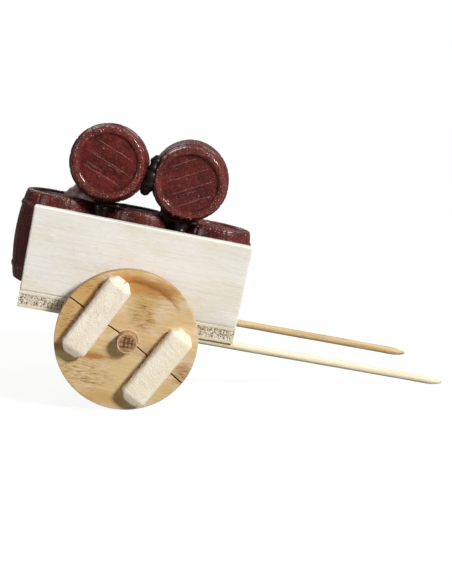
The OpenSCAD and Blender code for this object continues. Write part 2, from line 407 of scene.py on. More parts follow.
def wheelWood(name, seed, turn, stains, patches, arcs=()):
    # Golden pine. The grain runs along the bed, which the wheel's own frame meets at the angle turn.
    f = Finish(name, Specular_IOR_Level=0.3)
    spin = (0, 0, turn)
    bands = f.cloud((15, 2.6, 8), seed, 4, 0.6, 0.6, spin)
    lines = f.cloud((9, 0.34, 6), seed + 1, 4, 0.65, 0.3, spin)
    pores = f.cloud((1.7, 0.17, 2), seed + 2, 2, 0.5, 0, spin)
    sides = f.cloud((9, 10, 20), seed + 3, 2)
    f.start(f.fade(bands, 0.38, 0.62), "e3ccaa", "d9bb8a")
    f.tint(f.fade(sides, 0.44, 0.6, 0.7), "d6b67c")
    f.tint(f.fade(lines, 0.5, 0.72, 0.5), "b48d55")
    f.tint(f.fade(lines, 0.42, 0.3, 0.5), "ead8b6")
    # Stained places first.
    for middle, radii, code, strength in stains:
        f.tint(f.times(f.blot(middle, radii, seed + middle[0], spin), strength), code)
    # Bent rings of darker wood: a distance from the middle, a width, and the oval each one shows in.
    for reach, width, middle, radii, code in arcs:
        flat = f.reach(f.spot(flatSpot, turn=spin))
        wander = f.times(f.plus(f.cloud((2.2, 2.2, 9), seed + reach, 3), -0.5), 1.2)
        off = f.sums("ABSOLUTE", f.plus(f.plus(flat, wander), -reach))
        ring = f.times(f.fade(off, width * 1.4, 0.0), f.blot(middle, radii, seed + reach, spin))
        f.tint(f.times(ring, 0.7), code)
    f.tint(f.fade(pores, 0.64, 0.76, 0.45), "94703f")
    # Then streaked patches of open pores.
    for middle, radii in patches:
        patch = f.times(f.blot(middle, radii, seed + middle[1], spin), f.fade(pores, 0.5, 0.64, 0.8))
        f.tint(patch, "86602f")
    # The sawn rim is duller, and the seam's floor is painted dark: painted shade in the groove.
    mark = f.read("mark")
    f.tint(f.fade(mark, 0.2, 0.5, 0.55), "a98d63")
    f.tint(f.fade(mark, 0.6, 1.0, 0.95), "6b482b")
    f.press(lines, 0.06)
    f.press(pores, -0.05)
    f.press(f.cloud((0.2, 0.2, 0.2), seed, 2), 0.03)
    return f.done(f.fade(bands, 0.3, 0.7, 0.66, 0.52))


def battenWood(name, seed, lined):
    # Creamy soft wood, either pitted with short pores or finely lined across.
    f = Finish(name, Specular_IOR_Level=0.2)
    base = f.cloud((5, 9, 5), seed, 2)
    f.start(f.fade(base, 0.4, 0.62), "faf0dd", "f7ebcf" if lined else "f3e4cf")
    if lined:
        lines = f.cloud((6, 0.2, 3), seed + 1, 3, 0.6, 0.2, (0, 0, 8))
        f.tint(f.fade(lines, 0.5, 0.7, 0.55), "d9c59c")
        f.tint(f.fade(lines, 0.44, 0.32, 0.5), "fbf5e6")
        f.press(lines, 0.09)
    worms = f.cloud((0.32, 0.75, 0.4), seed + 3, 3, 0.6, 1.2)
    f.tint(f.fade(worms, 0.54, 0.68, 0.3 if lined else 0.6), "d6bd9c")
    f.tint(f.fade(worms, 0.44, 0.32, 0.3 if lined else 0.6), "fffaf0")
    dots = f.cells((0.36, 0.5, 0.4), seed + 2)
    f.tint(f.fade(dots, 0.22, 0.1, 0.15 if lined else 0.4), "bf9d7c")
    f.tint(f.read("mark"), "c98f62")
    f.press(worms, 0.05 if lined else 0.1)
    f.press(dots, 0.05)
    f.press(f.cloud((0.18, 0.3, 0.2), seed, 3), 0.04)
    return f.done(0.72)


def dowelWood(name, seed):
    # Long grain on the dowel's side, at mark 0; brown rays and a pale ring of fibres on its ends, at mark 1.
    f = Finish(name, Specular_IOR_Level=0.25)
    grain = f.cloud((0.35, 0.35, 9), seed, 3)
    side = f.paint(f.fade(grain, 0.4, 0.7), tone("c79f6b"), tone("a67a48"))
    ring = f.reach(f.spot(flatSpot))
    rays = f.cloud((0.9, 0.5, 40), seed + 1, 4, 0.65, 0.3)
    pores = f.cells((0.24, 0.24, 40), seed + 3)
    end = f.paint(f.fade(rays, 0.4, 0.62), tone("c59d74"), tone("936944"))
    for middle, radii in axle["stripes"]:
        stripe = f.blot(middle, radii, seed + middle[0], grain=(0.5, 0.5, 40))
        end = f.paint(f.times(stripe, 0.8), end, tone("5c3a26"))
    end = f.paint(f.fade(pores, 0.2, 0.1, 0.4), end, tone("4a2f1f"))
    end = f.paint(f.fade(f.plus(ring, f.times(rays, 0.9)), 2.5, 2.8), end, tone("dcbd94"))
    f.press(pores, 0.08)
    f.press(rays, 0.08)
    f.press(grain, 0.04)
    f.colour = f.paint(f.read("mark"), side, end)
    return f.done(0.75)


def stickWood(name, seed, light, dark, line):
    # A round split stick: long fine grain, and a greyed tip where mark rises to 1.
    f = Finish(name, Specular_IOR_Level=0.35)
    bands = f.cloud((0.7, 0.7, 22), seed, 3)
    lines = f.cloud((0.16, 0.16, 7), seed + 1, 3, 0.6)
    f.start(f.fade(bands, 0.38, 0.64), light, dark)
    f.tint(f.fade(lines, 0.52, 0.74, 0.6), line)
    ticks = f.cloud((0.14, 0.14, 1.0), seed + 2, 2)
    f.tint(f.fade(ticks, 0.64, 0.74, 0.6), "8d7450")
    f.tint(f.fade(f.read("mark"), 0.5, 1.0, 0.75), "9b938a")
    f.press(lines, 0.06)
    f.press(ticks, -0.03)
    return f.done(0.55)


def kegVarnish(name, seed, rough=1.0):
    # Thick oxblood varnish over a cast keg. Mark rises where it is rubbed, and is 1 on grit caught in it.
    # Pale flecks over the rubbed places and the paled grit are painted glints.
    gloss = 0.1 * rough ** 1.4
    f = Finish(name, Coat_Weight=0.5, Coat_Roughness=gloss, Coat_IOR=1.5, Specular_IOR_Level=0.12)
    pool = f.cloud((4, 4, 4), seed, 3)
    streak = f.cloud((1.0, 1.0, 2.6), seed + 1, 4, 0.65)
    speck = f.cells((0.4, 0.4, 0.4), seed + 2)
    scarce = f.cloud((1.3, 1.3, 1.3), seed + 6, 3)
    grit = f.cloud((0.32, 0.32, 0.32), seed + 3, 3, 0.7)
    f.start(f.fade(pool, 0.38, 0.64), "66221d", "4c1715")
    f.tint(f.fade(streak, 0.5, 0.7, 0.6), "7b3028")
    f.tint(f.fade(grit, 0.5, 0.34, 0.65), "330d0d")
    f.tint(f.fade(grit, 0.55, 0.7, 0.5), "8a463b")
    mark = f.read("mark")
    worn = f.times(f.fade(mark, 0.1, 0.8), f.fade(grit, 0.44, 0.6, 0.8, 0.1))
    f.tint(worn, "8c4e44")
    # Pale flecks, stronger on rubbed places and with a higher rough: painted glints on the varnish.
    flecks = f.times(f.fade(speck, 0.26, 0.14), f.fade(scarce, 0.48, 0.6, 1.0, 0.05))
    wearAndHighlight = f.fade(mark, 0.0, 0.5, 0.75 * rough, 0.15 * rough)
    f.tint(f.times(flecks, wearAndHighlight), "dcbcb2")
    # Marks near 1, on the grit beads, are paled: painted glints.
    f.tint(f.fade(mark, 0.85, 1.0, 0.9), "d6b4aa")
    f.press(f.cloud((1.6, 1.6, 2.2), seed + 4, 2), 0.12)
    f.press(f.cloud((0.5, 0.5, 0.5), seed + 5, 3, 0.65), 0.14 * rough)
    f.press(speck, -0.07 * rough)
    f.press(grit, 0.05 * rough)
    return f.done(f.fade(streak, 0.35, 0.7, 0.55, 0.4))


def darkVarnish(name, seed, below="120807", above="220f0d", roughness=0.45):
    # Varnish that pooled thick between the kegs.
    f = Finish(name, Coat_Weight=0.12, Coat_Roughness=0.2, Specular_IOR_Level=0.25)
    pool = f.cloud((1.6, 1.6, 1.6), seed, 3)
    grit = f.cloud((0.4, 0.4, 0.4), seed + 1, 3, 0.6)
    f.start(f.fade(pool, 0.4, 0.65), below, above)
    f.tint(f.fade(grit, 0.6, 0.75, 0.5), "5d3f3a")
    f.press(pool, 0.12)
    f.press(grit, 0.05)
    return f.done(f.fade(grit, 0.4, 0.7, roughness + 0.2, roughness))


def driedGlue(name, seed):
    # Yellowed wood glue with bubbles in it.
    f = Finish(name, Coat_Weight=0.5, Coat_Roughness=0.15)
    cloudy = f.cloud((1.2, 1.2, 1.2), seed, 3)
    bubbles = f.cells((0.35, 0.35, 0.35), seed + 1)
    f.start(f.fade(cloudy, 0.38, 0.66), "dccfa9", "c2ab79")
    f.tint(f.fade(bubbles, 0.16, 0.08, 0.6), "f3ead0")
    f.press(cloudy, 0.1)
    f.press(bubbles, -0.05)
    return f.done(f.fade(cloudy, 0.3, 0.7, 0.4, 0.25))


def tornFibre(name, seed):
    # Splinters and glue dust; mark 0 is pale and mark 1 is red-brown.
    f = Finish(name, Specular_IOR_Level=0.2)
    patch = f.cloud((0.5, 0.5, 0.5), seed, 3)
    pale = f.paint(f.fade(patch, 0.4, 0.65), tone("ecd2b0"), tone("d3a988"))
    brown = f.paint(f.fade(patch, 0.4, 0.65), tone("b0704a"), tone("7f452c"))
    f.press(patch, 0.05)
    f.colour = f.paint(f.read("mark"), pale, brown)
    return f.done(0.75)


# The camera, the lamps and the table.

camera = {
    "place": (-31.046, -231.435, 70.370),
    "turnRight": 7.66,
    "lookDown": 11.25,
    "roll": -0.46,
    "lens": 54.8,
    "sensor": 36,
}


def setCamera():
    made = bpy.data.cameras.new("camera")
    made.lens = camera["lens"]
    made.sensor_width = camera["sensor"]
    made.clip_start = 0.01
    made.clip_end = 20
    seen = bpy.data.objects.new("camera", made)
    seen.matrix_world = (
        Matrix.Translation(Vector(camera["place"]) * mm)
        @ turned(-camera["turnRight"], "Z")
        @ turned(90 - camera["lookDown"], "X")
        @ turned(camera["roll"], "Z")
    )
    bpy.context.scene.collection.objects.link(seen)
    bpy.context.scene.camera = seen


studio = {
    # each lamp: bearing from the viewer's side toward the right, height, distance and width in metres, watts
    "key": (45.5, 28, 1.5, 0.32, 26.2),
    "fill": (-55, 24, 0.4, 0.1, 0.23),
    "back": (118, 50, 1.0, 0.4, 2.2),
    "rear": (196, 42, 1.3, 0.6, 4.0),
    "front": 0.03,  # how bright the room is on the viewer's side
    "behind": 0.18,  # and behind the cart
    "aim": (0.0, 0.0, 0.03),
}


def setLamp(name, bearing, height, distance, width, watts):
    lamp = bpy.data.lights.new(name, "AREA")
    lamp.shape = "DISK"
    lamp.size = width
    lamp.energy = watts
    made = bpy.data.objects.new(name, lamp)
    a, h = math.radians(bearing), math.radians(height)
    away = Vector((math.sin(a) * math.cos(h), -math.cos(a) * math.cos(h), math.sin(h)))
    made.location = Vector(studio["aim"]) + away * distance
    made.rotation_euler = away.to_track_quat("Z", "Y").to_euler()
    bpy.context.scene.collection.objects.link(made)


def setStudio():
    for name in ("key", "fill", "back", "rear"):
        setLamp(name, *studio[name])
    room = bpy.data.worlds.new("room")
    bpy.context.scene.world = room
    room.use_nodes = True
    tree = room.node_tree
    add, link = tree.nodes.new, tree.links.new
    shown = tree.nodes["Background"]
    direction = add("ShaderNodeTexCoord").outputs["Generated"]
    split = add("ShaderNodeSeparateXYZ")
    link(direction, split.inputs[0])
    spread = add("ShaderNodeMapRange")
    ends = {"From Min": -0.5, "From Max": 0.8, "To Min": studio["front"], "To Max": studio["behind"]}
    for key, value in ends.items():
        spread.inputs[key].default_value = value
    link(split.outputs["Y"], spread.inputs["Value"])
    seen = add("ShaderNodeLightPath").outputs["Is Camera Ray"]
    level = add("ShaderNodeMix")
    link(seen, level.inputs[0])
    link(spread.outputs[0], level.inputs[2])
    level.inputs[3].default_value = 1.0
    link(level.outputs[0], shown.inputs["Strength"])
    shown.inputs["Color"].default_value = (1, 1, 1, 1)
    bpy.context.scene.view_settings.view_transform = "Standard"


table = {
    "size": 6,  # metres
    "near": 0.1,  # how far from the cart it starts to brighten
    "far": 0.45,
    "dark": "8f8e8b",
    "light": "949390",
}


def setTable():
    # A pale table that the lens sees almost blown out.
    f = Finish("paleTable", Emission_Color=(1, 1, 1, 1), Roughness=0.9, Specular_IOR_Level=0.1)
    seen = f.put("LightPath", {}).outputs["Is Camera Ray"]
    away = f.reach(f.put("TexCoord", {}).outputs["Object"])
    bare = f.fade(away, table["near"], table["far"], 1.0, 0.5)
    glow = f.fade(away, table["near"], table["far"], 1.0, 0.9)
    f.feed(f.shader.inputs["Emission Strength"], f.times(seen, glow))
    mottle = f.put("TexNoise", {"Scale": 3.0}).outputs["Fac"]
    near = f.paint(mottle, tone(table["dark"]), tone(table["light"]))
    f.colour = f.paint(f.times(bare, seen), near, (0, 0, 0, 1))
    sheet = bmesh.new()
    bmesh.ops.create_grid(sheet, x_segments=4, y_segments=4, size=table["size"])
    made = bpy.data.meshes.new("table")
    sheet.to_mesh(made)
    sheet.free()
    made.materials.append(f.done())
    top = bpy.data.objects.new("table", made)
    bpy.context.scene.collection.objects.link(top)


setCamera()
setStudio()
setTable()
print("camera, lamps and table set")


# The side boards and the three-ply floor.

bed = {
    "length": 54,
    "width": 33,
    "sideHeight": 20.9,
    "sideThick": 4,
    "facePly": 0.8,
    "corePly": 2.5,
    "arris": 0.5,  # how far the planed edges are rubbed round
    "wearAndHighlight": (0.45, 0.6),  # how far the pale band runs down from an edge, and in from the face: rubbing wear with a painted highlight on the arris
}


def markEnds(shape, half):
    # Marks the points on the two ends, where the grain is cut across.
    shape.marks = [1.0 if abs(point.x) > half - 0.06 else 0.0 for point in shape.points]
    return shape


def sideBoard(node, seed):
    size = (bed["length"], bed["sideThick"], bed["sideHeight"])
    shape = markEnds(block(size, bed["arris"], (0.8, 0.6, 0.3)), size[0] / 2)
    down, inward = bed["wearAndHighlight"]
    # Points near the top and bottom arrises are marked for the painted edge highlight and rubbing wear.
    for i, p in enumerate(shape.points):
        if abs(p.z) > size[2] / 2 - down and size[1] / 2 - inward < abs(p.y) < size[1] / 2 - 0.02:
            shape.marks[i] = max(shape.marks[i], 0.4)

    def relief(p, n):
        height = 0.05 * ripple(p, (28, 8, 3.6), seed) - 0.05
        height += 0.022 * ripple(p, (11, 3, 0.5), seed + 3)
        if abs(n.x) > 0.6:  # sawn end
            height += 0.05 * ripple(p, (4, 0.5, 0.7), seed + 5)
        nick = ripple(p, (1.4, 1.4, 1.4), seed + 9)
        onEdge = abs(n.z) > 0.3 and abs(n.y) > 0.3
        if onEdge and nick > 0.28:
            height -= 0.5 * (nick - 0.28)
        return height

    roughen(shape, relief)
    finish = boardWood(node + "Wood", seed)
    makePiece(node + "_wood", shape, finish, seatOf(node), "cart", [node])


def ply(node, thick, seed, finish, slot, inset, step):
    # One layer of the floor, with its edges set in a little and torn by the saw.
    size = (bed["length"], bed["width"], thick)
    shape = markEnds(block(size, min(0.12, thick / 6), step), size[0] / 2)

    def relief(p, n):
        edge = max(abs(n.x), abs(n.y))
        height = -inset * edge
        height += 0.03 * ripple(p, (9, 9, 3), seed)
        if slot == "ply_core" and edge > 0.6:  # torn vessels in the sawn edge
            tear = ripple(p, (0.45, 0.45, 0.4), seed + 2)
            height -= 0.16 * max(0.0, tear - 0.05)
            height += 0.05 * ripple(p, (1.6, 1.6, 0.6), seed + 4)
        elif edge > 0.6:
            height += 0.05 * ripple(p, (2.2, 2.2, 0.35), seed + 6)
        return height

    roughen(shape, relief)
    makePiece(node + "_sheet", shape, finish, seatOf(node), "cart", [node])


sideBoard("side_board_near", 1.7)
sideBoard("side_board_far", 6.3)
topWood = boardWood("floorTopWood", 11.2, "f0ead9", "e9dfc4")
bottomWood = boardWood("floorBottomWood", 8.6, "e9dfc9", "e2d3b0")
ply("floor_top_ply", bed["facePly"], 2.1, topWood, "ply_face", 0.03, (0.8, 0.8, 0.2))
ply("floor_core_ply", bed["corePly"], 3.4, coreWood("floorCoreWood", 5.1), "ply_core", 0.1, (0.3, 0.4, 0.25))
ply("floor_bottom_ply", bed["facePly"], 4.9, bottomWood, "ply_face", 0.03, (0.8, 0.8, 0.2))
print("boards and floor made")


# The disc wheels.

wheel = {
    "radius": 17.3,
    "thick": 3.2,
    "bore": 2.56,
    "arris": 0.22,
    "seamWidth": 0.58,
    "seamDepth": 0.5,
    "seamBow": 0.5,  # how far the saw wandered off the middle
    "seamAngle": 28,
    "wave": 0.035,  # how uneven the face is
    "around": 264,
    "rings": 26,
}


def wheelTurn(side, spin=0.0):
    # The wheel's own frame: z out of the shown face, x along the seam.
    flip = Matrix.Scale(-1, 4, (0, 1, 0)) if side > 0 else Matrix()
    return flip @ turned(90, "X") @ turned(spin - wheel["seamAngle"], "Z")


def wheelDisc(seed):
    radius, bore, half, arris = wheel["radius"], wheel["bore"], wheel["thick"] / 2, wheel["arris"]
    rings, wave = wheel["rings"], wheel["wave"]
    rim = [(radius - arris * (1 - math.sin(a)), half - arris * (1 - math.cos(a)))
           for a in [math.radians(angle) for angle in (0, 30, 60, 90)]]
    face = [(bore + 0.12 + (radius - arris - bore - 0.12) * i / rings, half) for i in range(rings)]
    upper = [(bore, half - 0.12)] + face + rim
    wall = [(radius, half * t) for t in (0.5, 0.0, -0.5)]
    lower = [(r, -z) for r, z in reversed(upper)]
    outline = upper + wall + lower
    disc = turnOnLathe(outline[::-1], wheel["around"])
    # Close the bore: the last ring meets the first.
    count = wheel["around"]
    last = (len(outline) - 1) * count
    for i in range(count):
        j = (i + 1) % count
        disc.faces.append([last + i, last + j, j, i])

    def relief(p, n):
        if math.hypot(p.x, p.y) < bore + 0.3:
            return 0.0
        return wave * ripple(p, (9, 6, 9), seed) - wave

    return roughen(disc, relief)


def seamPath(x, seed):
    bow = wheel["seamBow"] * math.cos(x / 12) - 0.12
    return bow + 0.09 * math.sin(x / 2.3 + seed) + 0.05 * ripple((x, 0, 0), (0.9, 1, 1), seed)


def seamCutter(seed):
    # The saw's path through the face, wide at the lips and narrow at the floor.
    half, depth, top = wheel["seamWidth"] / 2, wheel["seamDepth"], wheel["thick"] / 2
    narrow = half * 0.42
    right = [(narrow * 0.7, top - depth), (narrow, top - depth * 0.45), (half, top - 0.02), (half, top + 1)]
    section = [(-across, up) for across, up in reversed(right)] + right
    steps = 96
    points, faces = [], []
    for i in range(steps + 1):
        x = (wheel["radius"] + 1) * (2 * i / steps - 1)
        middle = seamPath(x, seed)
        points += [(x, middle + across, up) for across, up in section]
    count = len(section)
    for i in range(steps):
        for k in range(count):
            a, b = i * count + k, i * count + (k + 1) % count
            faces.append((a, a + count, b + count, b))
    faces.append(tuple(range(count)))
    faces.append(tuple(range(len(points) - count, len(points)))[::-1])
    cutter = bpy.data.objects.new("seamCutter", faceOut(Shape().add(points, faces).mesh("seamCutter")))
    bpy.context.scene.collection.objects.link(cutter)
    return cutter


def woodWheel(node, side, body, seed, stains, patches, arcs=()):
    cutter = seamCutter(seed)
    sawn = ("BOOLEAN", {"operation": "DIFFERENCE", "object": cutter, "solver": "EXACT"})
    disc = settle(wheelDisc(seed), sawn)
    bpy.data.objects.remove(cutter)
    top = wheel["thick"] / 2

    def markOf(p):
        # 1 on the seam's floor, 0.5 on the rim.
        away = math.hypot(p.x, p.y)
        low = top - wheel["seamDepth"] - 0.1 < p.z < top - 0.15
        near = abs(p.y - seamPath(p.x, seed)) < wheel["seamWidth"] * 0.24
        if low and near and wheel["bore"] + 0.05 < away < wheel["radius"] - 0.02:
            return 1.0
        return 0.5 if away > wheel["radius"] - 0.1 else 0.0

    disc.marks = [markOf(p) for p in disc.points]
    finish = wheelWood(node + "Wood", seed, -wheel["seamAngle"], stains, patches, arcs)
    makePiece(node + "_disc", disc, finish, seatOf(node, wheelTurn(side)), body, [node], 35)


# First the stains: a place in the bed's frame, two radii, a colour and a strength. Then pores, then rings.
woodWheel("wheel_near", -1, "near_wheel", 2.2, [
    ((-11.5, 10.0), (7.5, 6.0), "cf9c4c", 0.75),
    ((-1.5, 14.0), (7.5, 3.2), "c3883f", 0.8),
    ((5.5, 13.6), (7.5, 2.4), "b97c3c", 0.8),
    ((-15.0, -4.0), (5.5, 1.3), "a76c2c", 0.85),
    ((-9.0, -5.0), (7.0, 1.0), "b07434", 0.85),
    ((-15.2, 2.0), (2.6, 7.0), "c89a55", 0.7),
    ((7.5, -1.6), (6.5, 1.8), "c49263", 0.6),
    ((15.0, -5.5), (3.5, 3.5), "b0824a", 0.6),
    ((2.6, 6.8), (3.8, 5.4), "c39550", 0.55),
    ((-4.0, -15.0), (8.0, 1.8), "c5984f", 0.6),
], [
    ((2.6, 6.8), (4.0, 5.6)),
    ((-9.0, -9.5), (8.0, 4.5)),
    ((14.5, -6.0), (3.0, 3.6)),
    ((-14.5, 2.0), (2.5, 5.0)),
    ((-9.0, 12.0), (6.0, 3.0)),
], [
    (14.9, 0.9, (3.5, 14.0), (10.0, 4.5), "a0662a"),
    (14.5, 0.4, (5.0, 13.5), (12.0, 5.0), "8f5a24"),
    (13.0, 0.3, (-6.0, 12.0), (5.0, 3.0), "b88540"),
])
woodWheel("wheel_far", 1, "far_wheel", 7.9, [
    ((9.0, 12.0), (8.0, 3.0), "bf8c4a", 0.8),
    ((-12.0, -8.0), (4.0, 5.0), "bd8a4c", 0.7),
    ((3.0, -12.5), (9.0, 2.0), "b98246", 0.7),
], [((-4.0, 8.0), (6.0, 4.0)), ((9.0, -5.0), (5.0, 3.5))])
print("wheels made")


# The battens across the wheels.

batten = {
    "width": 6.6,
    "thick": 3,
    "offset": 9.6,
    "margin": 2.3,
    "corner": 1.7,
    "bevel": 0.6,
    "endSlope": 2.4,  # how far the carved end facets run back
    "fibres": 110,  # torn along the left arris, at most
    "dust": 26,
}


def battenHalf():
    reach = batten["offset"] + batten["width"] / 2
    return math.sqrt(wheel["radius"] ** 2 - reach ** 2) + batten["corner"] - batten["margin"]


def carve(shape, planes):
    # Pares off everything beyond each plane, given as (normal, a point on it).
    for normal, on in planes:
        normal = Vector(normal).normalized()
        for i, point in enumerate(shape.points):
            beyond = (point - Vector(on)).dot(normal)
            if beyond > 0:
                shape.points[i] = point - normal * beyond
    return shape


def battenShape(seed):
    half, w, t = battenHalf(), batten["width"] / 2, batten["thick"] / 2
    c, b, s = batten["corner"], batten["bevel"], batten["endSlope"]
    shape = block((2 * w, 2 * half, 2 * t), 0.12, (0.3, 0.3, 0.3))
    planes = []
    for x in (-1, 1):
        planes.append(((x, 0, 1.1), (x * w, 0, t - b)))
        for y in (-1, 1):
            planes.append(((x, y, 0), (x * w, y * (half - c), 0)))
            planes.append(((x, y, 0.9), (x * w, y * (half - c), t - b)))
    for y in (-1, 1):
        planes.append(((0, y, s / b * 0.55), (0, y * half, t - b * 1.4)))
    shape = settle(carve(shape, planes), ("SMOOTH", {"factor": 0.5, "iterations": 7}))

    def relief(p, n):
        height = 0.07 * ripple(p, (3.5, 9, 3), seed) - 0.04
        height += 0.035 * ripple(p, (0.55, 1.4, 0.6), seed + 2)
        if p.x < -w + 0.7:  # the torn left arris
            height += 0.12 * ripple(p, (0.5, 0.45, 0.5), seed + 5)
        return min(height, -0.02) if n.z > 0.5 else height

    return roughen(shape, relief)


def battenFray(seed, splinter):
    # Torn fibres and glue dust along the left arris, against the disc.
    half, w, t, c = battenHalf(), batten["width"] / 2, batten["thick"] / 2, batten["corner"]
    rng = random.Random(int(seed * 10))
    fray = Shape()
    for i in range(batten["fibres"]):
        along = rng.uniform(-0.85, 0.9) * (half - c)
        dense = 0.5 + 0.5 * noise.noise(Vector((along / 2.2, seed, 0)))
        if rng.random() > dense + 0.15:
            continue
        root = Vector((-w + 0.12, along, rng.uniform(-t + 0.05, -t + 1.3)))
        aim = Vector((-rng.uniform(0.3, 1.0), rng.uniform(-0.7, 0.7), rng.uniform(-0.1, 0.7))).normalized()
        length = rng.uniform(0.25, 0.75)
        bend = Vector((rng.uniform(-0.2, 0.2), rng.uniform(-0.3, 0.3), rng.uniform(-0.1, 0.3)))
        path = [root + aim * length * u + bend * u * u for u in (0, 0.35, 0.7, 1)]
        thick = rng.uniform(0.05, 0.11)
        radii = [thick * share for share in (1, 0.9, 0.6, 0.2)]
        fray.join(strand(path, radii, mark=rng.choice((0, 0.6, 1, 1))))
    for i in range(batten["dust"]):
        along = rng.uniform(-0.8, 0.9) * (half - c)
        size = rng.uniform(0.08, 0.2)
        grit = bead((size, size * 1.5, size), 1)
        grit.marks = [rng.choice((0.0, 0.3, 1.0))] * len(grit.points)
        fray.join(grit, Matrix.Translation((-w - 0.05, along, rng.uniform(-t + 0.1, -t + 0.9))))
    if splinter:  # one long splinter stands off the upper end
        tip = Vector((0.3, half - 0.6, t - 0.7))
        path = [tip + Vector((0.35 * u, 2.6 * u, 0.1 + 0.5 * u * u)) + Vector((0.35, 0, 0)) * math.sin(3 * u)
                for u in (0, 0.25, 0.5, 0.75, 1)]
        fray.join(strand(path, [0.11, 0.1, 0.08, 0.06, 0.02], mark=0.35))
    return fray


def woodBatten(node, side, body, turn, seed, lined, splinter=False):
    place = seatOf(node, wheelTurn(side, turn))
    wood, fibre = battenWood(node + "Wood", seed, lined), tornFibre(node + "Fibre", seed)
    makePiece(node + "_block", battenShape(seed), wood, place, body, [node], 32)
    makePiece(node + "_fray", battenFray(seed, splinter), fibre, place, body)


woodBatten("wheel_near_batten_rear", -1, "near_wheel", 2.5, 3.1, False, splinter=True)
woodBatten("wheel_near_batten_front", -1, "near_wheel", 0, 5.2, True)
woodBatten("wheel_far_batten_rear", 1, "far_wheel", -1, 7.7, True)
woodBatten("wheel_far_batten_front", 1, "far_wheel", 1.5, 9.4, False)
print("battens made")


# The axle, the shafts and the glue that holds them.

axle = {
    "radius": 2.5,
    "length": 51,
    "bearing": (19.4, 23.2),  # where the wheels run, from the middle
    "fibres": 54,  # round each sawn end
    "stripes": (  # brown rays on the sawn ends: a place and two radii
        ((-0.75, 0.3), (0.36, 2.3)), ((0.25, 0.4), (0.32, 2.4)), ((-0.1, 0.15), (2.4, 0.34)),
        ((-0.2, -0.95), (1.9, 0.26)), ((1.15, 0.3), (0.3, 1.7)), ((-0.2, 1.3), (1.6, 0.26)),
    ),
    "around": 72,
}
shaft = {
    "radius": 1.1,
    "length": 80,
    "tip": 4,  # how long the point is
    "tipRadius": 0.4,
    "around": 36,
}


def axleDowel():
    r, half = axle["radius"], axle["length"] / 2
    end = [(r * t, half - 0.08 - 0.05 * t * t) for t in (0, 0.15, 0.3, 0.45, 0.6, 0.72, 0.84, 0.92)]
    side = [(r, half * 0.98 * (1 - i / 30)) for i in range(61)]
    upper = end + [(r - 0.06, half - 0.12)]
    outline = upper + side + [(radius, -height) for radius, height in reversed(upper)]
    shape = turnOnLathe(outline[::-1], axle["around"])
    shape.marks = [1.0 if abs(p.z) > half - 0.2 else 0.0 for p in shape.points]

    def relief(p, n):
        if abs(p.z) > half - 0.3:
            return 0.08 * ripple(p, (0.5, 0.5, 2), 4.1) - 0.12
        if axle["bearing"][0] < abs(p.z) < axle["bearing"][1]:  # the bearing stays true
            return 0.0
        return 0.02 * ripple(p, (0.6, 0.6, 7), 2.4) - 0.02

    roughen(shape, relief)
    # A ragged ring of fibres round each sawn end.
    rng = random.Random(21)
    for way in (-1, 1):
        for i in range(axle["fibres"]):
            angle = math.radians(i * 360 / axle["fibres"] + rng.uniform(-3, 3))
            out = Vector((math.cos(angle), math.sin(angle), 0))
            root = out * (r - 0.1) + Vector((0, 0, way * (half - 0.25)))
            aim = out * rng.uniform(0.1, 0.5) + Vector((0, 0, way * rng.uniform(0.0, 0.4)))
            length = rng.uniform(0.2, 0.5)
            path = [root + aim * length * u for u in (0, 0.5, 1)]
            path = [Vector((p.x, p.y, max(0.12 - half, min(half - 0.12, p.z)))) for p in path]
            thick = rng.uniform(0.05, 0.1)
            shape.join(strand(path, [thick, thick * 0.8, thick * 0.2], 4))
    place = seatOf("axle", turned(90, "X"))
    makePiece("axle_dowel", shape, dowelWood("axleWood", 3.3), place, "cart", ["axle"])


def shaftStick(node, seed, colours):
    r, half, tip = shaft["radius"], shaft["length"] / 2, shaft["tip"]
    outline = [(0, -half), (r * 0.6, -half), (r - 0.08, -half + 0.03), (r, -half + 0.15)]
    steps = 100
    outline += [(r, -half + 0.15 + (2 * half - tip - 0.15) * i / steps) for i in range(1, steps + 1)]
    for u in (0.2, 0.4, 0.6, 0.8, 0.93):  # a bluntly rounded point
        outline.append((r + (shaft["tipRadius"] - r) * u ** 1.5, half - tip * (1 - u)))
    outline += [(shaft["tipRadius"] * 0.75, half - 0.08), (shaft["tipRadius"] * 0.4, half - 0.02), (0, half)]
    shape = turnOnLathe(outline, shaft["around"])
    shape.marks = [max(0.0, min(1.0, (p.z - half + 2.0) / 2.0)) for p in shape.points]

    def relief(p, n):
        return 0.035 * ripple(p, (1.2, 1.2, 14), seed) + 0.02 * ripple(p, (0.35, 0.35, 5), seed + 2) - 0.04

    roughen(shape, relief)
    finish = stickWood(node + "Wood", seed, *colours)
    makePiece(node + "_stick", shape, finish, seatOf(node, turned(90, "Y")), "cart", [node])


axleDowel()
shaftStick("shaft_near", 1.3, ("f5ead2", "ecdcb8", "cdb68a"))
shaftStick("shaft_far", 4.4, ("dcc092", "c8a878", "9c7a49"))


gluing = {
    # a bead's radius, how far it lies beside the middle of its stick, and how far below the floor
    "axle": (0.8, 1.75, 0.25),
    "shaft": (0.42, 0.85, 0.12),
    "axleInset": 0.8,  # from the sides of the bed
    "shaftInset": 1.6,  # from the shaft's rear end and the bed's front
}


def glueRun(shape, start, end, size, seed):
    # An uneven bead squeezed into the corner between two pieces of wood.
    steps = 44
    path, radii = [], []
    for i in range(steps + 1):
        u = i / steps
        place = start.lerp(end, u)
        swell = 0.75 + 0.5 * noise.noise(place * 0.7 + Vector((seed, 0, 0)))
        fade = min(1.0, 6 * u + 0.15, 6 * (1 - u) + 0.15)
        path.append(place)
        radii.append(size * swell * fade)
    shape.join(strand(path, radii, 10))


